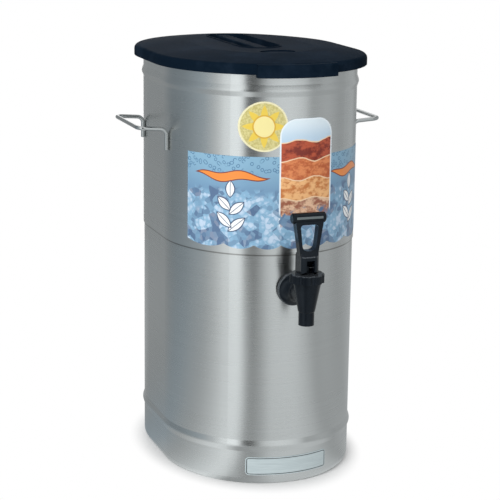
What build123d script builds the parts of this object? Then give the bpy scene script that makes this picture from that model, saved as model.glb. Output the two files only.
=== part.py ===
from build123d import *
import math
import os

# Oval beverage dispenser: stainless body, lift-off lid, sprung faucet.
# Millimetres. +Z is up, the faucet points along -Y, the handles stand out along X.
# The origin is the centre of the body's plan, on the surface that it stands on.

# Body, in plan: flat sides, shoulder arcs and nose arcs, all tangent
body_half_width = 122.0
body_half_depth = 168.0
nose_tightening = 8.0  # how much smaller the nose's radius is than the half width
shoulder_rise = 17.0  # from the end of a flat side to the nose's centre, along Y

# Body, in height
sheet = 1.0
rim_top = 518.0
seam_height = 292.0
lap = 12.0  # how far the upper wrap covers the lower one
upper_bead_height = 489.0
lower_bead_height = 50.0
bead_half_height = 7.0
bead_proud = 2.4
bead_blend = 3.0
bead_crest = 5.0
curl_width = 6.5
curl_radius = 3.0
bottom_roll = 8.0
foot_flange = 14.0  # how far the flat ring under the body reaches in from the flat side

# Floor of the tank
floor_front_height = 226.0
floor_slope_degrees = 2.0
pan_corner = 8.0

# Side handles
wire = 5.0
handle_half_span = 52.0
handle_reach = 40.0  # to the outside of the grip
handle_bend_height = 431.0
handle_tilt = 2.5  # how much higher the grip is than the bends at the wall
handle_foot = 26.0
handle_bend = 8.0
handle_corner = 9.0
handle_end_round = 1.0
weld_gap = 0.05

# Front label and badge, as skins on the wall
label_skin = 0.3
label_half_arc = 140.0
label_low = 304.0
label_high = 411.0
wave_depth = 5.0
wave_count = 7
drop_centre_arc = 16.0
drop_half_width = 35.0
drop_corner = 21.0
drop_top = 456.0
disc_centre_arc = -38.0
disc_radius = 30.0
disc_height = 447.0
badge_skin = 0.8
badge_half_width = 55.0
badge_tall = 23.0
badge_height = 24.0
badge_corner = 4.0

# Lid
lid_overhang = 11.5
lid_wall = 3.0
skirt_drop = 12.0
lid_edge_round = 5.5
lid_seat_gap = 0.3
crown = 7.0
crown_middle = 4.5
crown_run = 27.0  # from where the crown has risen to its middle to where it is level
crown_margin = 1.9  # level lid past the grip cup
plug_gap = 1.5  # between the tank's wall and the rib that centres the lid
plug_wall = 2.0
plug_depth = 13.0
tab_half_width = 50.0
tab_proud = 5.0
tab_drop = 3.4
tab_round = 2.4
well_width = 52.0
well_margin = 61.0  # from the well's back end to the back of the body
well_corner = 25.0
well_depth = 27.0
well_setback = 22.0  # how far the well's middle lies behind the lid's
well_collar = 2.0
well_lip = 0.8  # how far the collar stands above the crown
cup_gap = 0.1
cup_wall = 2.0
cup_flange = 3.0
cup_floor_round = 6.0
bar_width = 16.0
bar_tall = 6.0
bar_sink = 0.6  # how far the bar's top lies below the crown
bar_round = 1.8
collar_drop = 14.0  # from the crown down to the collar's lower edge
mark_seat_length = 44.0
mark_seat_width = 30.0
mark_seat_depth = 1.2
mark_seat_gap = 41.0  # from the well's front end to the seat's middle

# Faucet
shank_height = 250.0
faucet_reach = 47.0  # from the wall to the faucet's upright axis
flange_radius = 20.5
flange_thick = 5.0
neck_radius = 11.0
neck_start = 19.0  # how far in front of the flange's face the neck becomes straight
shank_radius = 10.5
shank_bore = 6.5
shank_inside = 22.0  # shank beyond the wall's inner face
saddle_thick = 1.6  # outer gasket at its thinnest
inner_gasket_thick = 3.0
gasket_radius = 19.0
washer_radius = 17.0
washer_thick = 1.2
nut_flat_radius = 18.0
nut_thick = 12.0
hole_gap = 0.5  # round the shank in the two sheets
thread_gap = 0.05

outlet_bottom = 217.0
outlet_radius = 9.4
cone_bottom = 234.0
cone_bottom_radius = 10.2
cone_shoulder = 1.5  # the cone's top past the collar
bonnet_bottom = 269.5
bonnet_top = 280.0
bonnet_wall = 5.0  # the bonnet past the collar
bonnet_lobes = 8
lobe_cut_radius = 5.0
lobe_cut_depth = 1.6
collar_wall = 3.5
chamber_radius = 12.0
chamber_bottom = 258.0
throat_radius = 8.0
seat_height = 243.0
seat_drop = 3.0
outlet_bore = 5.5
outlet_mouth = 7.2
outlet_step = 1.0
flange_edge = 1.2
collar_top = 277.5
plug_run_gap = 0.1
bonnet_edge = 1.0
groove_width = 2.2
groove_depth = 2.1
groove_height = 272.0
ring_gap = 0.04
stem_seal_room = 0.21

# Valve
stem_radius = 3.0
run_gap = 0.05
pin_above_base = 6.0
stem_head = 3.6  # stem above the pin
stem_shoulder_radius = 6.0
stem_shoulder = 2.0
stem_tip_radius = 2.5
stem_neck_radius = 1.8
cup_height = 5.0
cup_roof = 1.8
cup_nose = 0.8
seal_gap = 0.3
spring_end_gap = 0.05
spring_wire = 1.0
spring_mean_radius = 5.0
spring_turns = 7
ring_section = 1.0
spring_washer_radius = 8.0
spring_washer_thick = 0.8
plug_bottom = 268.0

# Lever
lever_seat_gap = 0.3
lever_tilt = 45.0  # degrees that it tips forward
lift_per_radian = 5.0  # of the stem
block_half = 11.0
block_chamfer = 3.5  # on its two upright front corners
block_top = 301.0
yoke_half_thick = 5.5
yoke_foot_half = 11.8
yoke_foot = 307.0
yoke_top_half = 17.5
yoke_top = 343.0
window_low = 307.5
window_high = 339.0
window_top_half = 11.5
window_low_half = 8.0
window_top_corner = 3.5
window_low_corner = 7.0
slot_half = 5.0
slot_above_pin = 10.5
slot_behind_pin = 3.9
grip_radius = 6.25
grip_half_length = 21.0
grip_height = 346.5
grip_edge = 1.2
yoke_blend = 4.0
lever_pin_radius = 1.25
lever_pin_half = 10.0
marker_half_length = 16.5
marker_half_angle = 13.0
marker_rise_angle = 8.0
marker_deep = 0.5

# Worked out from the sizes above
nose_radius = body_half_width - nose_tightening
nose_centre = body_half_depth - nose_radius
flat_half = nose_centre - shoulder_rise
shoulder_radius = (body_half_width + nose_radius) / 2 + shoulder_rise**2 / (2 * nose_tightening)
shoulder_centre = body_half_width - shoulder_radius
shoulder_angle = math.degrees(math.atan2(shoulder_rise, -shoulder_centre))
lap_top = seam_height + lap
skirt_bottom = rim_top + lid_seat_gap + lid_wall - skirt_drop
lid_underside = rim_top + lid_seat_gap
lid_top = lid_underside + lid_wall
crown_top = lid_top + crown
lip_top = crown_top + well_lip
cup_reach = well_collar + cup_gap + cup_wall + cup_flange
well_length = 2 * (body_half_depth - well_setback - well_margin)
crown_top_inset = well_margin - cup_reach - crown_margin
crown_middle_inset = crown_top_inset - crown_run
bar_top = crown_top - bar_sink
wall_front = -(body_half_depth - sheet)  # outer face of the lower wrap, at the front
pan_inner = -3 * sheet  # the pan's inner face, under two wraps and its own sheet
wall_inner_front = -(body_half_depth + pan_inner)
flange_face = wall_front - saddle_thick
inner_gasket_face = wall_inner_front + inner_gasket_thick
washer_face = inner_gasket_face + washer_thick
faucet_y = wall_front - faucet_reach
collar_radius = chamber_radius + collar_wall
cone_top_radius = collar_radius + cone_shoulder
bonnet_radius = collar_radius + bonnet_wall
plug_radius = chamber_radius - plug_run_gap
stem_seal_pocket = stem_radius + run_gap + ring_gap + 2 * ring_section + stem_seal_room
lever_base = bonnet_top + lever_seat_gap
pin_height = lever_base + pin_above_base
reach_all = 2 * (body_half_width + body_half_depth)  # longer than the body any way
faucet_plane = Plane(origin=(0, faucet_y, 0), x_dir=(1, 0, 0), z_dir=(0, -1, 0))
faucet_axis = Axis((0, faucet_y, 0), (0, 0, 1))
shank_axis = Axis((0, 0, shank_height), (0, 1, 0))

os.makedirs("parts", exist_ok=True)


def save(builder, name):
    """Labels a finished piece and writes it."""
    builder.part.label = name
    export_step(builder.part, f"parts/{name}.step")


def oval_edges(outward):
    """Draws the body's plan outline, moved outward all round, in the open BuildLine."""
    side = body_half_width + outward
    shoulder = shoulder_radius + outward
    nose = nose_radius + outward
    turn = shoulder_angle
    nose_turn = 180 - 2 * shoulder_angle
    Line((side, 0), (side, flat_half))
    CenterArc((shoulder_centre, flat_half), shoulder, 0, turn)
    CenterArc((0, nose_centre), nose, turn, nose_turn)
    CenterArc((-shoulder_centre, flat_half), shoulder, 180 - turn, turn)
    Line((-side, flat_half), (-side, -flat_half))
    CenterArc((-shoulder_centre, -flat_half), shoulder, 180, turn)
    CenterArc((0, -nose_centre), nose, 180 + turn, nose_turn)
    CenterArc((shoulder_centre, -flat_half), shoulder, 360 - turn, turn)
    Line((side, -flat_half), (side, 0))


def wall_x(y, outward=0.0):
    """How far the wall stands from the middle plane, at a place along its side."""
    past_flat = max(0.0, abs(y) - flat_half)
    radius = shoulder_radius + outward
    return shoulder_centre + math.sqrt(radius**2 - past_flat**2)


def front_x(arc):
    """X of a place on the front, given its distance along the wall from the middle."""
    nose_half_angle = math.radians(90 - shoulder_angle)
    nose_arc = nose_radius * nose_half_angle
    if abs(arc) <= nose_arc:
        return nose_radius * math.sin(arc / nose_radius)
    turned = math.radians(shoulder_angle) - (abs(arc) - nose_arc) / shoulder_radius
    return math.copysign(shoulder_centre + shoulder_radius * math.cos(turned), arc)


# Lower wrap: rolled foot, lower bead, and a plain top edge inside the lap
with BuildPart() as base_shell:
    with BuildLine() as base_path:
        oval_edges(0)
    with BuildSketch(Plane.XZ):
        with BuildLine():
            outer = body_half_width - sheet
            FilletPolyline(
                (body_half_width - foot_flange, 0),
                (outer, 0),
                (outer, lower_bead_height - bead_half_height),
                (outer + bead_proud, lower_bead_height),
                (outer, lower_bead_height + bead_half_height),
                (outer, lap_top),
                radius=[bottom_roll, bead_blend, bead_crest, bead_blend],
            )
            offset(amount=sheet, side=Side.LEFT)
        make_face()
    sweep(path=base_path.wires()[0])
    with BuildSketch(Plane.XZ):
        with Locations((0, shank_height)):
            Circle(shank_radius + hole_gap)
    extrude(amount=reach_all, mode=Mode.SUBTRACT)
save(base_shell, "base_shell")

# Upper wrap: lapped lower edge, upper bead, and a rim curled outward
with BuildPart() as tank_wall:
    with BuildLine() as wall_path:
        oval_edges(0)
    with BuildSketch(Plane.XZ):
        with BuildLine():
            outer = body_half_width
            curl_top = rim_top - sheet
            FilletPolyline(
                (outer, seam_height),
                (outer, upper_bead_height - bead_half_height),
                (outer + bead_proud, upper_bead_height),
                (outer, upper_bead_height + bead_half_height),
                (outer, curl_top),
                (outer + curl_width, curl_top),
                (outer + curl_width, curl_top - curl_width),
                (outer + 2 * sheet, curl_top - curl_width),
                radius=[bead_blend, bead_crest, bead_blend, curl_radius, curl_radius, curl_radius],
            )
            offset(amount=sheet, side=Side.LEFT)
        make_face()
    sweep(path=wall_path.wires()[0])
save(tank_wall, "tank_wall")

# Pan: the tank's floor, tilted down to the faucet, with a flange inside the lower wrap
with BuildPart() as tank_pan:
    with BuildSketch(Plane.XY):
        with BuildLine():
            oval_edges(-2 * sheet)
        make_face()
    extrude(amount=lap_top)
    floor_plane = Plane(
        origin=(0, -body_half_depth, floor_front_height),
        x_dir=(1, 0, 0),
        z_dir=(0, -math.sin(math.radians(floor_slope_degrees)), math.cos(math.radians(floor_slope_degrees))),
    )
    split(bisect_by=floor_plane, keep=Keep.TOP)
    fillet(tank_pan.faces().sort_by(Axis.Z)[0].edges(), radius=pan_corner)
    offset(amount=-sheet, openings=tank_pan.faces().sort_by(Axis.Z)[-1])
    with BuildSketch(Plane.XZ):
        with Locations((0, shank_height)):
            Circle(shank_radius + hole_gap)
    extrude(amount=reach_all, mode=Mode.SUBTRACT)
save(tank_pan, "tank_pan")

# Handles: bent wire, feet turned down along the wall
for side, name in ((1, "handle_right"), (-1, "handle_left")):
    foot_x = side * (wall_x(handle_half_span) + wire / 2 + weld_gap)
    grip_x = side * (body_half_width + handle_reach - wire / 2)
    foot_bottom = handle_bend_height - handle_foot
    with BuildPart() as handle:
        with BuildLine() as handle_path:
            FilletPolyline(
                (foot_x, -handle_half_span, foot_bottom),
                (foot_x, -handle_half_span, handle_bend_height),
                (grip_x, -handle_half_span, handle_bend_height + handle_tilt),
                (grip_x, handle_half_span, handle_bend_height + handle_tilt),
                (foot_x, handle_half_span, handle_bend_height),
                (foot_x, handle_half_span, foot_bottom),
                radius=[handle_bend, handle_corner, handle_corner, handle_bend],
            )
        with BuildSketch(Plane(origin=handle_path.wires()[0] @ 0, z_dir=(0, 0, 1))):
            Circle(wire / 2)
        sweep(path=handle_path.wires()[0])
        fillet(handle.faces().filter_by(GeomType.PLANE).edges(), radius=handle_end_round)
    save(handle, name)

# Label: a printed film round the front, waved along its lower edge, with a drop and a disc above the band
with BuildPart() as front_label:
    with BuildSketch(Plane.XY.offset(label_low - wave_depth)):
        with BuildLine():
            oval_edges(label_skin)
        make_face()
        with BuildLine():
            oval_edges(0)
        make_face(mode=Mode.SUBTRACT)
    extrude(amount=rim_top - label_low)
    with BuildSketch(Plane.XZ):
        with BuildLine():
            label_half = front_x(label_half_arc)
            wave = 2 * label_half / wave_count
            wave_ends = [(step * wave - label_half, label_low) for step in range(wave_count + 1)]
            for start, end in zip(wave_ends, wave_ends[1:]):
                SagittaArc(start, end, -wave_depth)
            Polyline(wave_ends[-1], (label_half, label_high), (-label_half, label_high), wave_ends[0])
        make_face()
        drop_x = front_x(drop_centre_arc)
        with Locations((drop_x, (label_low + drop_top) / 2)):
            RectangleRounded(2 * drop_half_width, drop_top - label_low, drop_corner)
        with Locations((front_x(disc_centre_arc), disc_height)):
            half_x = (front_x(disc_centre_arc + disc_radius) - front_x(disc_centre_arc - disc_radius)) / 2
            Ellipse(half_x, disc_radius)
    extrude(amount=reach_all, mode=Mode.INTERSECT)
save(front_label, "front_label")

# Badge: a small bare plate low on the front
with BuildPart() as name_badge:
    with BuildSketch(Plane.XY.offset(badge_height - badge_tall / 2)):
        with BuildLine():
            oval_edges(badge_skin - sheet)
        make_face()
        with BuildLine():
            oval_edges(-sheet)
        make_face(mode=Mode.SUBTRACT)
    extrude(amount=badge_tall)
    with BuildSketch(Plane.XZ):
        with Locations((0, badge_height)):
            RectangleRounded(2 * front_x(badge_half_width), badge_tall, badge_corner)
    extrude(amount=reach_all, mode=Mode.INTERSECT)
save(name_badge, "name_badge")

# Lid: crowned cap with a skirt, a centring rib, a finger tab, and a bar across an open well
with BuildPart() as lid:
    with BuildSketch(Plane.XY.offset(skirt_bottom)):
        with BuildLine():
            oval_edges(lid_overhang)
        make_face()
    extrude(amount=lid_top - skirt_bottom)
    for inset, rise in ((-lid_overhang, 0), (crown_middle_inset, crown_middle), (crown_top_inset, crown)):
        with BuildSketch(Plane.XY.offset(lid_top + rise)):
            with BuildLine():
                oval_edges(-inset)
            make_face()
    loft()
    fillet(lid.edges().filter_by_position(Axis.Z, lid_top, lid_top), radius=lid_edge_round)
    with BuildSketch(Plane.XY.offset(skirt_bottom)):
        with BuildLine():
            oval_edges(lid_overhang - lid_wall)
        make_face()
    extrude(amount=lid_underside - skirt_bottom, mode=Mode.SUBTRACT)
    plug_outer = -sheet - plug_gap
    for inset, rise in ((-plug_outer, 0), (crown_middle_inset, crown_middle), (crown_top_inset, crown)):
        with BuildSketch(Plane.XY.offset(lid_underside + rise)):
            with BuildLine():
                oval_edges(-inset)
            make_face()
    loft(mode=Mode.SUBTRACT)
    with BuildSketch(Plane.XY.offset(lid_underside - plug_depth)):
        with BuildLine():
            oval_edges(plug_outer)
        make_face()
        with BuildLine():
            oval_edges(plug_outer - plug_wall)
        make_face(mode=Mode.SUBTRACT)
    extrude(amount=plug_depth + lid_wall / 2)
    # The finger tab stands proud of the skirt at the front
    tab_bottom = skirt_bottom - tab_drop
    tab_inner = lid_overhang + tab_proud - lid_wall
    for outside, inside, half, depth, mode in (
        (lid_overhang + tab_proud, lid_overhang - lid_wall, tab_half_width, 0, Mode.ADD),
        (tab_inner, lid_overhang, tab_half_width - lid_wall, lid_wall, Mode.SUBTRACT),
    ):
        with BuildSketch(Plane.XY.offset(tab_bottom)):
            with BuildLine():
                oval_edges(outside)
            make_face()
            with BuildLine():
                oval_edges(inside)
            make_face(mode=Mode.SUBTRACT)
            with Locations((0, -body_half_depth)):
                Rectangle(2 * half, body_half_depth, mode=Mode.INTERSECT)
        extrude(amount=lid_top - depth - tab_bottom, mode=mode)
    tab_edge = lid.edges().filter_by_position(Axis.Z, lid_top, lid_top).sort_by(Axis.Y)[0]
    fillet(tab_edge, radius=tab_round)
    # The well goes right through, with a lipped collar round it and a thin bar left standing along it
    collar_low = crown_top - collar_drop
    bar_low = bar_top - bar_tall
    with BuildSketch(Plane.XY.offset(collar_low)):
        with Locations((0, well_setback)):
            grow = 2 * well_collar
            RectangleRounded(well_width + grow, well_length + grow, well_corner + well_collar)
    extrude(amount=lip_top - collar_low)
    for low, high, kept_width in (
        (collar_low, bar_low, 0),
        (bar_low, bar_top, bar_width),
        (bar_top, lip_top, 0),
    ):
        with BuildSketch(Plane.XY.offset(low)):
            with Locations((0, well_setback)):
                RectangleRounded(well_width, well_length, well_corner)
                if kept_width:
                    Rectangle(kept_width, well_length, mode=Mode.SUBTRACT)
        extrude(amount=high - low, mode=Mode.SUBTRACT)
    bar_edges = lid.edges().filter_by(Axis.Y).filter_by_position(Axis.X, -bar_width / 2, bar_width / 2)
    fillet(bar_edges.filter_by_position(Axis.Z, bar_low, bar_top), radius=bar_round)
    # A bare oval seat in front of the well
    with BuildSketch(Plane.XY.offset(crown_top)):
        with Locations((0, well_setback - well_length / 2 - mark_seat_gap)):
            Ellipse(mark_seat_length / 2, mark_seat_width / 2)
    extrude(amount=-mark_seat_depth, mode=Mode.SUBTRACT)
save(lid, "lid")

# Grip cup: closes the well from below, its wall round the lid's collar
cup_grow = 2 * (well_collar + cup_gap)
cup_flange_top = lid_underside + crown
cup_floor = crown_top - well_depth
with BuildPart() as grip_cup:
    with BuildSketch(Plane.XY.offset(cup_floor - cup_wall)):
        with Locations((0, well_setback)):
            grow = cup_grow + 2 * cup_wall
            RectangleRounded(well_width + grow, well_length + grow, well_corner + grow / 2)
    extrude(amount=cup_flange_top - cup_floor + cup_wall)
    fillet(grip_cup.faces().sort_by(Axis.Z)[0].edges(), radius=cup_floor_round + cup_wall)
    offset(amount=-cup_wall, openings=grip_cup.faces().sort_by(Axis.Z)[-1])
    with BuildSketch(Plane.XY.offset(cup_flange_top)):
        with Locations((0, well_setback)):
            grow = cup_grow + 2 * (cup_wall + cup_flange)
            RectangleRounded(well_width + grow, well_length + grow, well_corner + grow / 2)
            RectangleRounded(
                well_width + cup_grow + cup_wall,
                well_length + cup_grow + cup_wall,
                well_corner + (cup_grow + cup_wall) / 2,
                mode=Mode.SUBTRACT,
            )
    extrude(amount=-cup_wall)
save(grip_cup, "grip_cup")

# Faucet body: cone and outlet on an upright axis, neck and flange on the shank's axis
with BuildPart() as faucet_body:
    with BuildSketch(faucet_plane):
        with BuildLine():
            Polyline(
                (0, outlet_bottom),
                (outlet_radius, outlet_bottom),
                (outlet_radius, cone_bottom - outlet_step),
                (cone_bottom_radius, cone_bottom),
                (cone_top_radius, bonnet_bottom),
                (collar_radius, bonnet_bottom),
                (collar_radius, collar_top),
                (0, collar_top),
                close=True,
            )
        make_face()
    revolve(axis=faucet_axis)
    with BuildSketch(Plane.YZ):
        with BuildLine():
            neck_end = flange_face - neck_start
            rim_y = flange_face - flange_thick
            Polyline(
                (faucet_y, shank_height),
                (wall_inner_front + shank_inside, shank_height),
                (wall_inner_front + shank_inside, shank_height + shank_radius),
                (flange_face, shank_height + shank_radius),
                (flange_face, shank_height + flange_radius),
                (rim_y + flange_edge, shank_height + flange_radius),
                (rim_y, shank_height + flange_radius - flange_edge),
            )
            TangentArc(
                (neck_end, shank_height + neck_radius),
                (rim_y, shank_height + flange_radius - flange_edge),
                tangent=(1, 0),
                tangent_from_first=True,
            )
            Polyline(
                (neck_end, shank_height + neck_radius),
                (faucet_y, shank_height + neck_radius),
                (faucet_y, shank_height),
            )
        make_face()
    revolve(axis=shank_axis)
    with BuildSketch(faucet_plane):
        with BuildLine():
            Polyline(
                (0, outlet_bottom),
                (outlet_mouth, outlet_bottom),
                (outlet_bore, cone_bottom),
                (outlet_bore, seat_height - seat_drop),
                (throat_radius, seat_height),
                (chamber_radius, chamber_bottom),
                (chamber_radius, collar_top),
                (0, collar_top),
                close=True,
            )
        make_face()
    revolve(axis=faucet_axis, mode=Mode.SUBTRACT)
    with BuildSketch(Plane.XZ.offset(-(wall_inner_front + shank_inside))):
        with Locations((0, shank_height)):
            Circle(shank_bore)
    extrude(amount=wall_inner_front + shank_inside - faucet_y, mode=Mode.SUBTRACT)
save(faucet_body, "faucet_body")

# Bonnet: lobed ring nut with a top plate, a plug into the chamber and a guide for the stem
with BuildPart() as faucet_bonnet:
    with BuildSketch(Plane(origin=(0, faucet_y, bonnet_bottom), z_dir=(0, 0, 1))):
        Circle(bonnet_radius)
        with PolarLocations(bonnet_radius + lobe_cut_radius - lobe_cut_depth, bonnet_lobes):
            Circle(lobe_cut_radius, mode=Mode.SUBTRACT)
    extrude(amount=bonnet_top - bonnet_bottom)
    chamfer(faucet_bonnet.faces().sort_by(Axis.Z)[-1].edges(), length=bonnet_edge)
    with BuildSketch(faucet_plane):
        with BuildLine():
            Polyline(
                (collar_radius + thread_gap, bonnet_bottom),
                (collar_radius + thread_gap, collar_top),
                (plug_radius, collar_top),
                (plug_radius, bonnet_bottom),
                close=True,
            )
        make_face()
    revolve(axis=faucet_axis, mode=Mode.SUBTRACT)
    with BuildSketch(faucet_plane):
        with BuildLine():
            Polyline(
                (0, plug_bottom),
                (plug_radius, plug_bottom),
                (plug_radius, collar_top),
                (0, collar_top),
                close=True,
            )
        make_face()
    revolve(axis=faucet_axis)
    with BuildSketch(faucet_plane):
        with Locations((plug_radius, groove_height)):
            Rectangle(2 * groove_depth, groove_width)
        with BuildLine():
            Polyline(
                (0, plug_bottom),
                (stem_seal_pocket, plug_bottom),
                (stem_seal_pocket, plug_bottom + groove_width),
                (stem_radius + run_gap, plug_bottom + groove_width),
                (stem_radius + run_gap, bonnet_top),
                (0, bonnet_top),
                close=True,
            )
        make_face()
    revolve(axis=faucet_axis, mode=Mode.SUBTRACT)
save(faucet_bonnet, "faucet_bonnet")

# O-rings: one in the bonnet's groove, one round the stem
for name, middle, height in (
    ("bonnet_seal", plug_radius - groove_depth + ring_section + ring_gap, groove_height),
    ("stem_seal", stem_radius + run_gap + ring_gap + ring_section, plug_bottom + groove_width / 2),
):
    with BuildPart() as ring:
        with BuildSketch(faucet_plane):
            with Locations((middle, height)):
                Circle(ring_section)
        revolve(axis=faucet_axis)
    save(ring, name)

# Spring washer: holds the stem seal up and is the spring's upper seat
with BuildPart() as spring_washer:
    with BuildSketch(Plane(origin=(0, faucet_y, plug_bottom - spring_washer_thick), z_dir=(0, 0, 1))):
        Circle(spring_washer_radius)
        Circle(stem_radius + 2 * run_gap, mode=Mode.SUBTRACT)
    extrude(amount=spring_washer_thick)
save(spring_washer, "spring_washer")

# Gaskets: flat on the faucet's side, curved on the wall's side
with BuildPart() as shank_gasket_outer:
    with BuildSketch(Plane.XZ.offset(-flange_face)):
        with Locations((0, shank_height)):
            Circle(gasket_radius)
            Circle(shank_radius + thread_gap, mode=Mode.SUBTRACT)
    extrude(amount=-gasket_radius)
    with BuildSketch(Plane.XY.offset(shank_height - gasket_radius)):
        with BuildLine():
            oval_edges(-sheet)
        make_face()
    extrude(amount=2 * gasket_radius, mode=Mode.SUBTRACT)
save(shank_gasket_outer, "shank_gasket_outer")

with BuildPart() as shank_gasket_inner:
    with BuildSketch(Plane.XZ.offset(-inner_gasket_face)):
        with Locations((0, shank_height)):
            Circle(washer_radius)
            Circle(shank_radius + thread_gap, mode=Mode.SUBTRACT)
    extrude(amount=washer_radius)
    with BuildSketch(Plane.XY.offset(shank_height - washer_radius)):
        with BuildLine():
            oval_edges(pan_inner)
        make_face()
    extrude(amount=2 * washer_radius, mode=Mode.INTERSECT)
save(shank_gasket_inner, "shank_gasket_inner")

with BuildPart() as shank_washer:
    with BuildSketch(Plane.XZ.offset(-washer_face)):
        with Locations((0, shank_height)):
            Circle(washer_radius)
            Circle(shank_radius + thread_gap, mode=Mode.SUBTRACT)
    extrude(amount=washer_thick)
save(shank_washer, "shank_washer")

with BuildPart() as shank_nut:
    with BuildSketch(Plane.XZ.offset(-(washer_face + nut_thick))):
        with Locations((0, shank_height)):
            RegularPolygon(nut_flat_radius, 6, major_radius=False)
            Circle(shank_radius + thread_gap, mode=Mode.SUBTRACT)
    extrude(amount=nut_thick)
save(shank_nut, "shank_nut")

# Stem: rod with a shoulder for the spring and a cross hole for the lever's pin
shoulder_top = seat_height + cup_height + stem_shoulder
with BuildPart() as lift_stem:
    with BuildSketch(faucet_plane):
        with BuildLine():
            stem_top = pin_height + stem_head
            Polyline(
                (0, seat_height),
                (stem_tip_radius, seat_height),
                (stem_tip_radius, seat_height + cup_height - cup_roof),
                (stem_neck_radius, seat_height + cup_height - cup_roof),
                (stem_neck_radius, seat_height + cup_height),
                (stem_shoulder_radius, seat_height + cup_height),
                (stem_shoulder_radius, shoulder_top),
                (stem_radius, shoulder_top),
                (stem_radius, stem_top - stem_radius),
            )
            Line((0, stem_top), (0, seat_height))
            RadiusArc((stem_radius, stem_top - stem_radius), (0, stem_top), -stem_radius)
        make_face()
    revolve(axis=faucet_axis)
    with BuildSketch(Plane.YZ.offset(-stem_radius)):
        with Locations((faucet_y, pin_height)):
            Circle(lever_pin_radius + run_gap)
    extrude(amount=2 * stem_radius, mode=Mode.SUBTRACT)
save(lift_stem, "lift_stem")

# Seat cup: soft plug on the stem's tip, which closes the throat
with BuildPart() as seat_cup:
    with BuildSketch(faucet_plane):
        seat_slope = math.atan2(seat_drop, throat_radius - outlet_bore)
        in_from_seat = seal_gap * math.sin(seat_slope)
        up_from_seat = seal_gap * math.cos(seat_slope)
        with BuildLine():
            Polyline(
                (0, seat_height - seat_drop - cup_nose),
                (outlet_bore - in_from_seat - cup_nose, seat_height - seat_drop - cup_nose),
                (outlet_bore - in_from_seat, seat_height - seat_drop + up_from_seat),
                (throat_radius - in_from_seat, seat_height + up_from_seat),
                (throat_radius - in_from_seat, seat_height + cup_height),
                (stem_neck_radius + thread_gap, seat_height + cup_height),
                (stem_neck_radius + thread_gap, seat_height + cup_height - cup_roof + thread_gap),
                (stem_tip_radius + thread_gap, seat_height + cup_height - cup_roof + thread_gap),
                (stem_tip_radius + thread_gap, seat_height - thread_gap),
                (0, seat_height - thread_gap),
                close=True,
            )
        make_face()
    revolve(axis=faucet_axis)
save(seat_cup, "seat_cup")

# Spring: half-turn arcs along a helix, from the stem's shoulder up to the washer
spring_low = shoulder_top + spring_wire / 2 + spring_end_gap
spring_high = plug_bottom - spring_washer_thick - spring_wire / 2 - spring_end_gap
spring_pitch = (spring_high - spring_low) / spring_turns


def spring_point(turn):
    """The middle of the wire, after so many turns."""
    angle = 2 * math.pi * turn
    return (
        spring_mean_radius * math.cos(angle),
        faucet_y + spring_mean_radius * math.sin(angle),
        spring_low + spring_pitch * turn,
    )


with BuildPart() as valve_spring:
    with BuildLine() as spring_path:
        for half in range(2 * spring_turns):
            turn = half / 2
            ThreePointArc(spring_point(turn), spring_point(turn + 0.25), spring_point(turn + 0.5))
    spring_wire_path = spring_path.wires()[0]
    with BuildSketch(Plane(origin=spring_wire_path @ 0, z_dir=spring_wire_path % 0)):
        Circle(spring_wire / 2)
    sweep(path=spring_wire_path)
save(valve_spring, "valve_spring")
print("spring: least gap between turns", round(spring_pitch - spring_wire, 2), "mm")

# Lever: a block that rocks on its rounded heel, a yoke with a window, and a round grip
heel = []
for tilt in (0, lever_tilt / 2, lever_tilt):
    angle = math.radians(tilt)
    support = pin_above_base + lift_per_radian * angle
    heel.append(
        (
            faucet_y - support * math.sin(angle) - lift_per_radian * math.cos(angle),
            pin_height - support * math.cos(angle) + lift_per_radian * math.sin(angle),
        )
    )


def marker_section():
    """The strip's cross-section: a slice of ring just under the grip's surface."""
    middle = Vector(faucet_y, grip_height)
    far = 2 * grip_radius
    with BuildSketch(mode=Mode.PRIVATE) as section:
        with Locations(middle):
            Circle(grip_radius)
            Circle(grip_radius - marker_deep, mode=Mode.SUBTRACT)
        with BuildLine():
            Polyline(
                middle,
                middle + Vector(-far, 0).rotate(Axis.Z, marker_half_angle - marker_rise_angle),
                middle + Vector(-far, 0).rotate(Axis.Z, -marker_half_angle - marker_rise_angle),
                close=True,
            )
        make_face(mode=Mode.INTERSECT)
    return section.sketch


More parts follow.
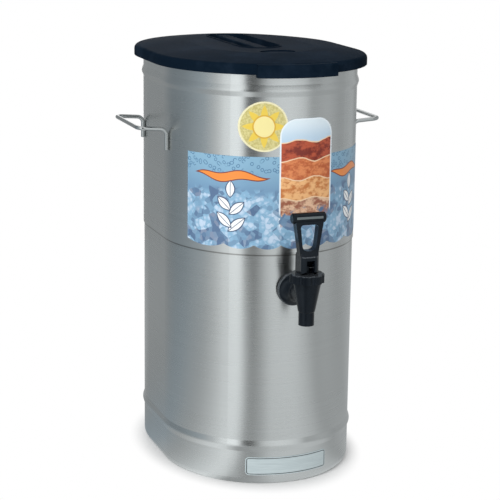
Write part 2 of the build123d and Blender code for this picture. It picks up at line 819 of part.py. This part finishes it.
with BuildPart() as faucet_lever:
    with BuildSketch(Plane.YZ.offset(-yoke_top_half)):
        with BuildLine():
            Line((faucet_y + block_half, lever_base), heel[0])
            ThreePointArc(*heel)
            Polyline(
                heel[2],
                (faucet_y - block_half, heel[2][1] + (block_half - (faucet_y - heel[2][0]))),
                (faucet_y - block_half, block_top),
                (faucet_y - yoke_half_thick, yoke_foot),
                (faucet_y - yoke_half_thick, yoke_top),
                (faucet_y + yoke_half_thick, yoke_top),
                (faucet_y + yoke_half_thick, yoke_foot),
                (faucet_y + block_half, block_top),
                (faucet_y + block_half, lever_base),
            )
        make_face()
    extrude(amount=2 * yoke_top_half)
    with BuildSketch(faucet_plane):
        with BuildLine():
            FilletPolyline(
                (-block_half, lever_base),
                (block_half, lever_base),
                (block_half, block_top),
                (yoke_foot_half, yoke_foot),
                (yoke_top_half, yoke_top),
                (-yoke_top_half, yoke_top),
                (-yoke_foot_half, yoke_foot),
                (-block_half, block_top),
                radius=[0, 0, yoke_blend, yoke_blend, 0, 0, yoke_blend, yoke_blend],
                close=True,
            )
        make_face()
        with BuildLine():
            FilletPolyline(
                (-window_low_half, window_low),
                (window_low_half, window_low),
                (window_top_half, window_high),
                (-window_top_half, window_high),
                radius=[window_low_corner, window_low_corner, window_top_corner, window_top_corner],
                close=True,
            )
        make_face(mode=Mode.SUBTRACT)
    extrude(amount=block_half, both=True, mode=Mode.INTERSECT)
    with BuildSketch(Plane(origin=(0, faucet_y, lever_base - block_half), z_dir=(0, 0, 1))):
        with BuildLine():
            Polyline(
                (-block_half, block_half),
                (block_half, block_half),
                (block_half, block_chamfer - block_half),
                (block_half - block_chamfer, -block_half),
                (block_chamfer - block_half, -block_half),
                (-block_half, block_chamfer - block_half),
                close=True,
            )
        make_face()
        Rectangle(2 * yoke_top_half, 2 * yoke_half_thick)
    extrude(amount=yoke_top - lever_base + block_half, mode=Mode.INTERSECT)
    with BuildSketch(Plane.YZ.offset(-grip_half_length)):
        with Locations((faucet_y, grip_height)):
            Circle(grip_radius)
    extrude(amount=2 * grip_half_length)
    chamfer(faucet_lever.faces().filter_by(Plane.YZ).group_by(Axis.X)[0].edges(), length=grip_edge)
    chamfer(faucet_lever.faces().filter_by(Plane.YZ).group_by(Axis.X)[-1].edges(), length=grip_edge)
    with BuildSketch(Plane.YZ.offset(-marker_half_length)):
        add(marker_section())
    extrude(amount=2 * marker_half_length, mode=Mode.SUBTRACT)
    # The slot that the stem's head stands in, open below and to the front
    with BuildSketch(Plane.YZ.offset(-slot_half)):
        with BuildLine():
            Polyline(
                (faucet_y - 2 * block_half, lever_base - block_half),
                (faucet_y + slot_behind_pin, lever_base - block_half),
                (faucet_y + slot_behind_pin, pin_height + slot_above_pin),
                (faucet_y - 2 * block_half, pin_height + slot_above_pin),
                close=True,
            )
        make_face()
    extrude(amount=2 * slot_half, mode=Mode.SUBTRACT)
    with BuildSketch(Plane.YZ.offset(-lever_pin_half)):
        with Locations((faucet_y, pin_height)):
            Circle(lever_pin_radius)
    extrude(amount=2 * lever_pin_half, mode=Mode.SUBTRACT)
save(faucet_lever, "faucet_lever")

# Marker: a bare pale strip let into the grip, facing the user
with BuildPart() as lever_marker:
    with BuildSketch(Plane.YZ.offset(-marker_half_length)):
        add(marker_section())
    extrude(amount=2 * marker_half_length)
save(lever_marker, "lever_marker")

# Pin: pressed into the block's cheeks, with the stem's head turning on it
with BuildPart() as lever_pin:
    with BuildSketch(Plane.YZ.offset(-lever_pin_half)):
        with Locations((faucet_y, pin_height)):
            Circle(lever_pin_radius)
    extrude(amount=2 * lever_pin_half)
save(lever_pin, "lever_pin")
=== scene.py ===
import math
import bmesh
import bpy
import numpy as np
from mathutils import Matrix


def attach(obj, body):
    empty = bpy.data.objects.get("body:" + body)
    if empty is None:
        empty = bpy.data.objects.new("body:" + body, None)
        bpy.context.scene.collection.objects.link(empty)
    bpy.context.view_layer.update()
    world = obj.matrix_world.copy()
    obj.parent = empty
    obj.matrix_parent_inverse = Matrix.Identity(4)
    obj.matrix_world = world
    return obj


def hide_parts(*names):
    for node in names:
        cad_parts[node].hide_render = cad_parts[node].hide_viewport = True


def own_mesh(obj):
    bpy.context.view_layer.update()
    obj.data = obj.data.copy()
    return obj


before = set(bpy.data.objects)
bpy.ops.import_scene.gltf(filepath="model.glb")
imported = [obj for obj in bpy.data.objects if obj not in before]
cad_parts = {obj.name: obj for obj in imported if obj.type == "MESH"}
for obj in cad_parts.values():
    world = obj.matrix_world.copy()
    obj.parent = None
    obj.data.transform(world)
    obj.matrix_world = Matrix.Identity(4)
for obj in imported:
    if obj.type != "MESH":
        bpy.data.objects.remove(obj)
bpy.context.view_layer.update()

# The body: two stainless wraps, lapped and spot welded, with rolled beads, a curled rim
# and a rolled foot, and a pan inside them. The sheet's polishing grain runs round the body.


class Amount:
    """A number that varies over a surface. Arithmetic on it adds Math nodes."""

    def __init__(self, finish, socket):
        self.finish = finish
        self.socket = socket

    def __add__(self, other):
        return self.finish.maths("ADD", self, other)

    __radd__ = __add__

    def __sub__(self, other):
        return self.finish.maths("SUBTRACT", self, other)

    def __rsub__(self, other):
        return self.finish.maths("SUBTRACT", other, self)

    def __mul__(self, other):
        return self.finish.maths("MULTIPLY", self, other)

    __rmul__ = __mul__

    def __truediv__(self, other):
        return self.finish.maths("DIVIDE", self, other)

    def __rtruediv__(self, other):
        return self.finish.maths("DIVIDE", other, self)

    def __pow__(self, other):
        return self.finish.maths("POWER", self, other)

    def __abs__(self):
        return self.finish.maths("ABSOLUTE", self)

    def low(self, other):
        """The smaller of the two."""
        return self.finish.maths("MINIMUM", self, other)

    def high(self, other):
        """The larger of the two."""
        return self.finish.maths("MAXIMUM", self, other)

    def ease(self, start, end):
        """0 before start and 1 after end, with a smooth step between; start may be the larger."""
        if start > end:
            return 1 - self.ease(end, start)
        settings = {"interpolation_type": "SMOOTHSTEP"}
        made = self.finish.node("ShaderNodeMapRange", settings, {"Value": self, 1: start, 2: end})
        return Amount(self.finish, made.outputs[0])


class Finish:
    """One material. node() adds any node but a Math node, which arithmetic on amounts adds."""

    def __init__(self, name, constants):
        self.material = bpy.data.materials.new(name)
        self.material.use_nodes = True
        self.tree = self.material.node_tree
        self.shader = self.tree.nodes["Principled BSDF"]
        for key, value in constants.items():
            self.shader.inputs[key].default_value = value
        self.vector = self.node("ShaderNodeTexCoord", {}, {}).outputs["Object"]
        split = self.node("ShaderNodeSeparateXYZ", {}, {0: self.vector})
        self.x, self.y, self.z = (Amount(self, socket) for socket in split.outputs)

    def node(self, kind, settings, inputs):
        """Adds a node: its settings are made first, then its inputs are set or linked."""
        made = self.tree.nodes.new(kind)
        for key, value in settings.items():
            setattr(made, key, value)
        for key, value in inputs.items():
            self.feed(made.inputs[key], value)
        return made

    def feed(self, socket, value):
        """Links a socket to an amount or another socket, or sets it to a plain value."""
        if isinstance(value, Amount):
            self.tree.links.new(value.socket, socket)
        elif isinstance(value, bpy.types.NodeSocket):
            self.tree.links.new(value, socket)
        else:
            socket.default_value = value

    def maths(self, operation, *values):
        """One Math node on amounts or numbers."""
        made = self.node("ShaderNodeMath", {"operation": operation}, dict(enumerate(values)))
        return Amount(self, made.outputs[0])

    def mix(self, share, first, second):
        """A colour between two, by a share from 0 to 1."""
        colours = [(*c, 1.0) if isinstance(c, tuple) else c for c in (first, second)]
        inputs = {0: share, 6: colours[0], 7: colours[1]}
        return self.node("ShaderNodeMix", {"data_type": "RGBA"}, inputs).outputs[2]

    def cells(self, place, frequency):
        """Cells on a flat place: how far the cell's middle is, and a tone from 0 to 1 for each."""
        inputs = {"Vector": place, "Scale": frequency}
        made = self.node("ShaderNodeTexVoronoi", {"voronoi_dimensions": "2D"}, inputs)
        parts = self.node("ShaderNodeSeparateColor", {}, {0: made.outputs["Color"]})
        return Amount(self, made.outputs["Distance"]), Amount(self, parts.outputs[0])

    def noise(self, frequency, detail=2.0, roughness=0.5):
        """Noise from 0 to 1 at the point's place, with so many cycles a metre along x, y and z."""
        scaled = {0: self.vector, 1: frequency}
        stretched = self.node("ShaderNodeVectorMath", {"operation": "MULTIPLY"}, scaled)
        inputs = {"Vector": stretched.outputs[0], "Scale": 1.0, "Detail": detail, "Roughness": roughness}
        return Amount(self, self.node("ShaderNodeTexNoise", {}, inputs).outputs[0])

    def set(self, name, value):
        """Sets or links one input of the surface's shader."""
        self.feed(self.shader.inputs[name], value)

    def bump(self, height, depth):
        """Raises the surface by a height from 0 to 1, times a depth in metres."""
        inputs = {"Strength": 1.0, "Distance": depth, "Height": height}
        self.set("Normal", self.node("ShaderNodeBump", {}, inputs).outputs[0])

    def paint(self, *nodes):
        """Gives this finish to CAD nodes."""
        for name in nodes:
            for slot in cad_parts[name].material_slots:
                slot.material = self.material


def steel(name, tone, roughness, grain, spread):
    """Polished stainless: a tone, a roughness, a grain depth, and how far the grain spreads light."""
    finish = Finish(name, {"Metallic": 1.0, "Anisotropic": spread, "Anisotropic Rotation": 0.25})
    fine = finish.noise((12.0, 12.0, 2400.0), 3.0, 0.6)
    coarse = finish.noise((5.0, 5.0, 420.0), 2.0)
    cloud = finish.noise((9.0, 9.0, 6.0), 3.0, 0.6)
    bright = tuple(min(1.0, 1.08 * part) for part in tone)
    dull = tuple(0.90 * part for part in tone)
    finish.colour = finish.mix(0.5 * coarse + 0.5 * cloud, dull, bright)
    finish.set("Base Color", finish.colour)
    finish.set("Roughness", roughness + 0.10 * (cloud - 0.5) + 0.08 * (coarse - 0.5))
    finish.bump(fine * 0.6 + coarse * 0.4, grain)
    return finish


wrap_steel = steel("wrap_steel", (0.592, 0.604, 0.598), 0.28, 0.000016, 0.74)
# Painted shade: a dark line in the crevice under the lap's edge, broken here and there by noise
lap_edge = 0.292
lap_shade_breakup = wrap_steel.noise((70.0, 70.0, 20.0), 3.0)
lap_shade = abs(wrap_steel.z - (lap_edge - 0.0006)).ease(0.0014, 0.0005) * (0.65 + 0.5 * (lap_shade_breakup - 0.5))
wrap_steel.set("Base Color", wrap_steel.mix(lap_shade, wrap_steel.colour, (0.110, 0.100, 0.090)))
wrap_steel.paint("tank_wall", "base_shell")
# The pan is pressed from plainer sheet, which spreads light less along its grain
pan_steel = steel("pan_steel", (0.58, 0.585, 0.58), 0.34, 0.00003, 0.3)
pan_steel.paint("tank_pan")

# Side handles: two loops of drawn stainless wire, brighter and smoother than the sheet. They
# are bent to shape, and both feet of each turn down along the wall and are welded to it.
wire_steel = steel("wire_steel", (0.46, 0.475, 0.475), 0.16, 0.00001, 0.0)
wire_steel.paint("handle_left", "handle_right")

# Lid: one moulding in blue-black plastic, with a fine grain from its spark-eroded mould. It sits
# loose on the rim, and hands have rubbed it a little paler in places.


def moulded(name, colour, roughness, grain, pebble, gloss, tint=(1.0, 1.0, 1.0)):
    """Moulded plastic: colour, roughness, grain depth, pebbles a metre, gloss level and gloss tint."""
    finish = Finish(name, {"Specular IOR Level": gloss, "Specular Tint": (*tint, 1.0)})
    pebbles = finish.noise((pebble, pebble, pebble), 2.0, 0.6)
    handled = finish.noise((22.0, 22.0, 22.0), 4.0, 0.65)
    worn = tuple(1.5 * part + 0.004 for part in colour)
    finish.colour = finish.mix(handled.ease(0.40, 0.75), colour, worn)
    finish.set("Base Color", finish.colour)
    finish.set("Roughness", roughness + 0.14 * (handled - 0.5) + 0.06 * (pebbles - 0.5))
    finish.bump(pebbles, grain)
    return finish


blue_black = (0.0040, 0.0098, 0.0190)
lid_plastic = moulded("lid_plastic", blue_black, 0.50, 0.00010, 900.0, 0.0025, (0.60, 0.85, 1.0))
lid_plastic.paint("lid")

# Grip cup: the floor of the lid's well under the grip bar, moulded on its own in a paler grade
# of the same plastic, and clipped round the lid's collar from below.
cup_plastic = moulded("cup_plastic", (0.420, 0.430, 0.420), 0.45, 0.00008, 900.0, 0.4)
cup_plastic.paint("grip_cup")

# Front label: a printed film, stuck to the wall all over. Its print has bubbles in a sky, ice
# facets, plain ribbons, sprigs of pale leaves, a sun, and a tall panel with waves of tea.
print_film = Finish("print_film", {"Specular IOR Level": 0.35, "Coat Weight": 0.12, "Coat Roughness": 0.25})
height = print_film.z
nose_radius = 0.114
nose_centre = -0.054
arc = nose_radius * print_film.maths("ARCTAN2", print_film.x, nose_centre - print_film.y)
wander = print_film.noise((60.0, 60.0, 60.0), 2.0) - 0.5
flat = print_film.node("ShaderNodeCombineXYZ", {}, {0: arc + 0.006 * wander, 1: height}).outputs[0]

# The sky pales upwards, and dark rings stand for bubbles near its top
print_colour = print_film.mix(height.ease(0.340, 0.411), (0.125, 0.240, 0.410), (0.240, 0.430, 0.580))
away, tone = print_film.cells(flat, 165.0)
ring = away.ease(0.20, 0.27) * away.ease(0.40, 0.33) * tone.ease(0.30, 0.34)
print_colour = print_film.mix(ring * height.ease(0.389, 0.393) * 0.85, print_colour, (0.035, 0.130, 0.270))

# Ice: large facets and small ones, from violet to white, with a ragged upper edge
away, tone = print_film.cells(flat, 78.0)
close, spark = print_film.cells(flat, 190.0)
depth = 0.55 * tone + 0.45 * spark
ice = print_film.mix(depth.ease(0.12, 0.60), (0.095, 0.165, 0.290), (0.240, 0.440, 0.620))
ice = print_film.mix((depth + 0.35 * (0.5 - close)).ease(0.58, 0.95), ice, (0.520, 0.650, 0.800))
ice = print_film.mix((spark * (1 - tone)).ease(0.45, 0.75) * 0.45, ice, (0.230, 0.160, 0.220))
ragged = 0.012 * (tone - 0.5)
ice_edge = (height + ragged).ease(0.372, 0.366)
print_colour = print_film.mix(ice_edge, print_colour, ice)

# Two plain ribbons, one each side of the panel, which narrow to their ends and wave a little
ribbon_height = 0.3865
ribbon_line = 0.0012
for ribbon_middle, ribbon_half in ((-0.078, 0.040), (0.092, 0.034)):
    along = arc - ribbon_middle
    middle_height = ribbon_height + 0.0022 * print_film.maths("SINE", along * 120.0)
    half_wide = 0.0052 - along * along * (0.0042 / ribbon_half**2)
    inside = half_wide - abs(height - middle_height)
    outline = (inside + ribbon_line).ease(0.0, 0.0004)
    print_colour = print_film.mix(outline, print_colour, (0.200, 0.045, 0.030))
    print_colour = print_film.mix(inside.ease(0.0, 0.0005), print_colour, (0.870, 0.270, 0.050))


def leaf(colour, place, turn, length, width):
    """Adds a pale leaf with a dark edge: |across| < width (1 - (along / length)**2) about its middle."""
    sideways = arc - place[0]
    upwards = height - place[1]
    along = sideways * math.cos(turn) + upwards * math.sin(turn)
    across = abs(upwards * math.cos(turn) - sideways * math.sin(turn))
    inside = width - along * along * (width / length**2) - across
    colour = print_film.mix((inside + 0.0013).ease(0.0, 0.0005), colour, (0.025, 0.050, 0.130))
    pale = inside.ease(0.0, 0.0004) * across.ease(0.0002, 0.0006)
    return print_film.mix(pale, colour, (0.900, 0.930, 0.940))


# A sprig stands under each ribbon: two pairs of leaves and one at the tip, smaller upwards
leaf_turns = (0.7, 2.4, 0.7, 2.4, 1.57)
leaf_heights = (0.328, 0.333, 0.348, 0.353, 0.371)
for stem in (-0.078, 0.098):
    for step, (lean, rise) in enumerate(zip(leaf_turns, leaf_heights)):
        aside = 0.0105 * math.cos(lean)
        long = 0.0132 - 0.0008 * step
        print_colour = leaf(print_colour, (stem + aside, rise), lean, long, 0.0052)

# A sun behind the panel: a round middle, eight pointed rays and a pale rim
band_top = 0.411
sun_x = (print_film.x + 0.0373) / 0.0280
sun_z = (height - 0.447) / 0.030
sun_far = (sun_x * sun_x + sun_z * sun_z) ** 0.5
ray_side = print_film.maths("PINGPONG", print_film.maths("ARCTAN2", sun_x, sun_z) + math.pi, math.pi / 8)
ray = (0.86 - sun_far) * 0.80 - ray_side
mottle = print_film.noise((420.0, 420.0, 420.0), 3.0)
sun = print_film.mix(mottle.ease(0.35, 0.65), (0.500, 0.440, 0.160), (0.640, 0.590, 0.270))
sun = print_film.mix(ray.ease(-0.01, 0.02), sun, (0.760, 0.560, 0.080))
sun = print_film.mix(sun_far.ease(0.47, 0.45), sun, (0.830, 0.740, 0.330))
sun = print_film.mix(abs(sun_far - 0.44).ease(0.035, 0.020), sun, (0.640, 0.380, 0.040))
sun = print_film.mix(sun_far.ease(0.92, 0.94), sun, (0.780, 0.740, 0.480))
sun_share = sun_far.ease(1.04, 1.02) * height.ease(band_top - 0.0005, band_top + 0.0002)
print_colour = print_film.mix(sun_share, print_colour, sun)

# The panel: a pale top, then waves of red, amber and gold that end among the ice
panel_side = print_film.x - 0.016
corner_x = (abs(panel_side) - 0.014).high(0.0)
corner_z = (height - 0.435).high(0.0)
panel_far = (corner_x * corner_x + corner_z * corner_z) ** 0.5 - 0.021
swell = 0.0022 * print_film.maths("SINE", panel_side * 150.0) + 0.004 * wander
panel = print_film.mix(height.ease(0.428, 0.454), (0.500, 0.660, 0.800), (0.720, 0.830, 0.900))
cloud = print_film.noise((110.0, 110.0, 160.0), 3.0, 0.6)
for top, dark, light in (
    (0.4285, (0.190, 0.022, 0.012), (0.470, 0.085, 0.035)),
    (0.4060, (0.480, 0.105, 0.030), (0.720, 0.250, 0.090)),
    (0.3830, (0.560, 0.190, 0.050), (0.850, 0.480, 0.210)),
    (0.3580, (0.330, 0.120, 0.070), (0.760, 0.500, 0.330)),
):
    level = height + swell * (1 if top > 0.4 else -1)
    panel = print_film.mix(level.ease(top + 0.0018, top + 0.0010), panel, (0.870, 0.640, 0.420))
    body_colour = print_film.mix(cloud.ease(0.38, 0.62), dark, light)
    panel = print_film.mix(level.ease(top + 0.0004, top - 0.0002), panel, body_colour)
panel = print_film.mix(panel_far.ease(-0.0022, -0.0014), panel, (0.800, 0.880, 0.930))
panel_share = panel_far.ease(0.0003, -0.0003) * (height + 0.030 * (depth - 0.5)).ease(0.334, 0.341)
print_colour = print_film.mix(panel_share, print_colour, panel)
print_film.set("Base Color", print_colour)
print_film.set("Roughness", 0.30 + 0.08 * (cloud - 0.5))
print_film.paint("front_label")

# Badge: a bare plate of anodised sheet with rounded corners, a fine brushed grain and a thin
# dark line printed inside its edge. It is glued low on the front.
badge_plate = Finish("badge_plate", {"Specular IOR Level": 0.5})
badge_half_length = 0.0529
badge_half_height = 0.0115
badge_middle = 0.024
badge_corner = 0.004
over_x = abs(badge_plate.x) - (badge_half_length - badge_corner)
over_z = abs(badge_plate.z - badge_middle) - (badge_half_height - badge_corner)
round_x = over_x.high(0.0)
round_z = over_z.high(0.0)
edge_far = (round_x * round_x + round_z * round_z) ** 0.5 + over_x.high(over_z).low(0.0) - badge_corner
brushed = badge_plate.noise((40.0, 40.0, 2600.0), 2.0)
plate = badge_plate.mix(brushed.ease(0.3, 0.7), (0.440, 0.520, 0.540), (0.560, 0.640, 0.660))
line = edge_far.ease(-0.0020, -0.0017) * edge_far.ease(-0.0008, -0.0011)
badge_plate.set("Base Color", badge_plate.mix(line, plate, (0.020, 0.026, 0.032)))
badge_plate.set("Roughness", 0.34 + 0.08 * (brushed - 0.5))
badge_plate.paint("name_badge")

# Faucet: body, bonnet, nut, stem and lever, all moulded in glossy black plastic. The body's
# shank goes through the wall and the nut clamps it, and a steel pin joins the lever to the stem.
black = (0.0026, 0.0040, 0.0068)
faucet_plastic = moulded("faucet_plastic", black, 0.24, 0.00005, 1300.0, 0.20, (0.75, 0.90, 1.0))
# Painted highlights along edges: the block's shoulder, the bonnet's upper edge and the rim of the wall
# flange, broken up by noise
shank_height = 0.250
highlight_breakup = faucet_plastic.noise((600.0, 600.0, 600.0), 2.0).ease(0.30, 0.60)
shoulder = abs(faucet_plastic.z - 0.3011).ease(0.0009, 0.0003) * faucet_plastic.y.ease(-0.2215, -0.2235)
bonnet_edge = abs(faucet_plastic.z - 0.2795).ease(0.0008, 0.0003)
far_out = (faucet_plastic.x * faucet_plastic.x + (faucet_plastic.z - shank_height) ** 2.0) ** 0.5
rim = abs(far_out - 0.0200).ease(0.0009, 0.0004) * faucet_plastic.y.ease(-0.180, -0.176)
edge_highlights = shoulder.high(bonnet_edge * 0.6).high(rim * 0.8) * highlight_breakup
faucet_plastic.set("Base Color", faucet_plastic.mix(edge_highlights, faucet_plastic.colour, (0.090, 0.100, 0.110)))
faucet_plastic.paint("faucet_body", "faucet_bonnet", "faucet_lever", "shank_nut", "lift_stem")

# Marker: a plain strip of blue-grey plastic, pressed into a groove along the lever's grip,
# where thumbs have dulled it.
marker_plastic = moulded("marker_plastic", (0.110, 0.130, 0.135), 0.4, 0.00004, 1300.0, 0.4)
marker_plastic.paint("lever_marker")

# Seals, seat and small hardware: black rubber rings and gaskets, a pale silicone cup on the
# stem's lower end, and bright steel washers and pin. All of them are pushed or clamped in place.
rubber = moulded("rubber", (0.016, 0.016, 0.016), 0.6, 0.00004, 1500.0, 0.3)
rubber.paint("bonnet_seal", "stem_seal", "shank_gasket_outer", "shank_gasket_inner")
silicone = moulded("silicone", (0.50, 0.47, 0.42), 0.5, 0.00003, 1500.0, 0.4)
silicone.paint("seat_cup")
spring_steel = steel("spring_steel", (0.55, 0.55, 0.55), 0.25, 0.00001, 0.0)
spring_steel.paint("spring_washer", "shank_washer", "lever_pin")

# Valve spring: coiled from round steel wire. Its upper end stays under the bonnet, and its
# lower end rises with the stem. Here its wire is joined into one mesh held fixed with the dispenser.
spring_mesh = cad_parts["valve_spring"].data.copy()
joined = bmesh.new()
joined.from_mesh(spring_mesh)
bmesh.ops.remove_doubles(joined, verts=joined.verts, dist=0.000001)
joined.to_mesh(spring_mesh)
joined.free()
spring_wire = bpy.data.objects.new("spring_wire", spring_mesh)
bpy.context.scene.collection.objects.link(spring_wire)
spring_mesh.materials.clear()
spring_mesh.materials.append(spring_steel.material)
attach(spring_wire, "dispenser")
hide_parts("valve_spring")
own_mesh(spring_wire)

# The set: a pale floor, a ring of studio cards that the metal mirrors, one large lamp and a
# soft white world. Cameras see the floor as white, but for the shadow close to the body.


def sheet_mesh(name, points):
    """A mesh from a grid of points: each four neighbours on the grid make one face."""
    rows, columns = points.shape[:2]
    index = np.arange(rows * columns).reshape(rows, columns)
    corners = (index[:-1, :-1], index[:-1, 1:], index[1:, 1:], index[1:, :-1])
    faces = np.stack(corners, axis=-1).reshape(-1, 4)
    mesh = bpy.data.meshes.new(name)
    mesh.from_pydata(points.reshape(-1, 3).tolist(), [], faces.tolist())
    made = bpy.data.objects.new(name, mesh)
    bpy.context.scene.collection.objects.link(made)
    return made


def surround(finish, stops):
    """The studio's tone by bearing in degrees: 0 lies in front of the faucet and + to its right.
    A ramp holds no tone over 1, so it is made fainter by peak and lit as much more."""
    peak = 1.5
    share = finish.maths("ARCTAN2", finish.x, 0 - finish.y) / (2 * math.pi) + 0.5
    ramp = finish.node("ShaderNodeValToRGB", {}, {"Fac": share})
    points = ramp.color_ramp.elements
    for count, (bearing, tone) in enumerate(stops):
        place = bearing / 360 + 0.5
        point = points[0] if count == 0 else points.new(place)
        point.position = place
        blue = 1.0 if -140 < bearing < -80 else 0.25
        tint = (0.99 - 0.12 * blue, 1.0, 0.99 + 0.10 * blue)
        point.color = (*(tone * part / peak for part in tint), 1.0)
    glow = finish.node("ShaderNodeEmission", {}, {"Color": ramp.outputs[0], "Strength": peak})
    return glow.outputs[0]


floor_reach = 8.0
across, along = np.meshgrid((-floor_reach, floor_reach), (-floor_reach, floor_reach), indexing="ij")
floor = sheet_mesh("floor", np.stack((across, along, 0 * across), axis=-1)[:, ::-1])
floor_paint = Finish("floor_paint", {"Roughness": 0.6, "Specular IOR Level": 0.2})
floor_paint.set("Base Color", (0.86, 0.86, 0.86, 1.0))
body_half_width = 0.122
body_half_depth = 0.168
oval_x = floor_paint.x / body_half_width
oval_y = floor_paint.y / body_half_depth
far = (oval_x * oval_x + oval_y * oval_y) ** 0.5
ray = floor_paint.node("ShaderNodeLightPath", {}, {})
seen = Amount(floor_paint, ray.outputs["Is Camera Ray"])
mirrored = surround(
    floor_paint,
    (
        (-180, 0.45),
        (-166, 0.46),
        (-150, 0.36),
        (-125, 0.38),
        (-109, 0.42),
        (-80, 0.52),
        (-64, 0.70),
        (-51, 0.94),
        (-40, 1.12),
        (-34, 0.95),
        (-28, 0.50),
        (-21, 0.48),
        (-13, 0.60),
        (-6, 0.78),
        (18, 0.80),
        (34, 0.70),
        (46, 0.48),
        (66, 0.52),
        (97, 0.45),
        (140, 0.54),
        (180, 0.45),
    ),
)
shares = {0: ray.outputs["Is Glossy Ray"], 1: floor_paint.shader.outputs[0], 2: mirrored}
lit = floor_paint.node("ShaderNodeMixShader", {}, shares)
pure_white = (1.0, 1.0, 1.0, 1.0)
white = floor_paint.node("ShaderNodeEmission", {}, {"Color": pure_white, "Strength": 1.0})
shares = {0: seen * far.ease(0.98, 1.22), 1: lit.outputs[0], 2: white.outputs[0]}
blend = floor_paint.node("ShaderNodeMixShader", {}, shares)
floor_paint.feed(floor_paint.tree.nodes["Material Output"].inputs[0], blend.outputs[0])
floor.data.materials.append(floor_paint.material)

card_radius = 1.15
card_top = 1.9
turns = np.linspace(-math.pi, math.pi, 73)
heights = np.array((0.0, card_top))
turn, height = np.meshgrid(turns, heights, indexing="ij")
card_points = (card_radius * np.sin(turn), -card_radius * np.cos(turn), height)
cards = sheet_mesh("cards", np.stack(card_points, axis=-1))
card_paint = Finish("card_paint", {})
card_glow = surround(
    card_paint,
    (
        (-180, 0.30),
        (-161, 0.37),
        (-135, 0.28),
        (-111, 0.33),
        (-85, 0.50),
        (-71, 0.74),
        (-60, 1.20),
        (-47, 1.48),
        (-41, 1.25),
        (-37, 0.10),
        (-27, 0.12),
        (-22, 0.36),
        (-12, 0.88),
        (2, 1.02),
        (16, 1.00),
        (30, 0.84),
        (38, 0.50),
        (50, 0.56),
        (62, 0.60),
        (84, 0.45),
        (116, 0.56),
        (130, 0.30),
        (180, 0.30),
    ),
)
card_paint.feed(card_paint.tree.nodes["Material Output"].inputs[0], card_glow)
cards.data.materials.append(card_paint.material)
cards.visible_camera = False
cards.visible_diffuse = False
cards.visible_shadow = False
cards.visible_transmission = False

world = bpy.data.worlds.new("soft_world")
world.use_nodes = True
bpy.context.scene.world = world
links = world.node_tree.links
sky = world.node_tree.nodes["Background"]
sky.inputs["Color"].default_value = pure_white
path = world.node_tree.nodes.new("ShaderNodeLightPath")
shown = world.node_tree.nodes.new("ShaderNodeMath")
shown.operation = "MAXIMUM"
links.new(path.outputs["Is Camera Ray"], shown.inputs[0])
links.new(path.outputs["Is Glossy Ray"], shown.inputs[1])
strength = world.node_tree.nodes.new("ShaderNodeMapRange")
strength.inputs["To Min"].default_value = 0.55
strength.inputs["To Max"].default_value = 1.0
links.new(shown.outputs[0], strength.inputs["Value"])
links.new(strength.outputs[0], sky.inputs["Strength"])

key = bpy.data.lights.new("key", "AREA")
key.shape = "RECTANGLE"
key.size = 1.4
key.size_y = 1.0
key.energy = 45.0
key_lamp = bpy.data.objects.new("key_lamp", key)
bpy.context.scene.collection.objects.link(key_lamp)
key_lamp.location = (-1.5, -1.6, 1.9)
key_lamp.rotation_euler = (math.radians(50), 0.0, math.radians(-43))
key_lamp.visible_glossy = False

# Camera: where the photograph was taken from, to the left of the front and a little above the
# lid. It is tipped down, and turned a little about its own axis.
camera = bpy.data.cameras.new("camera")
camera.sensor_width = 36.0
camera.lens = 117.6
camera_holder = bpy.data.objects.new("camera_holder", camera)
bpy.context.scene.collection.objects.link(camera_holder)
camera_holder.location = (-0.6971, -1.9438, 0.745)
heading = Matrix.Rotation(math.radians(-19.87), 3, "Z")
dip = Matrix.Rotation(math.radians(90.0 - 13.23), 3, "X")
tilt = Matrix.Rotation(math.radians(0.76), 3, "Z")
camera_holder.rotation_euler = (heading @ dip @ tilt).to_euler()
bpy.context.scene.camera = camera_holder
bpy.context.scene.view_settings.view_transform = "Standard"
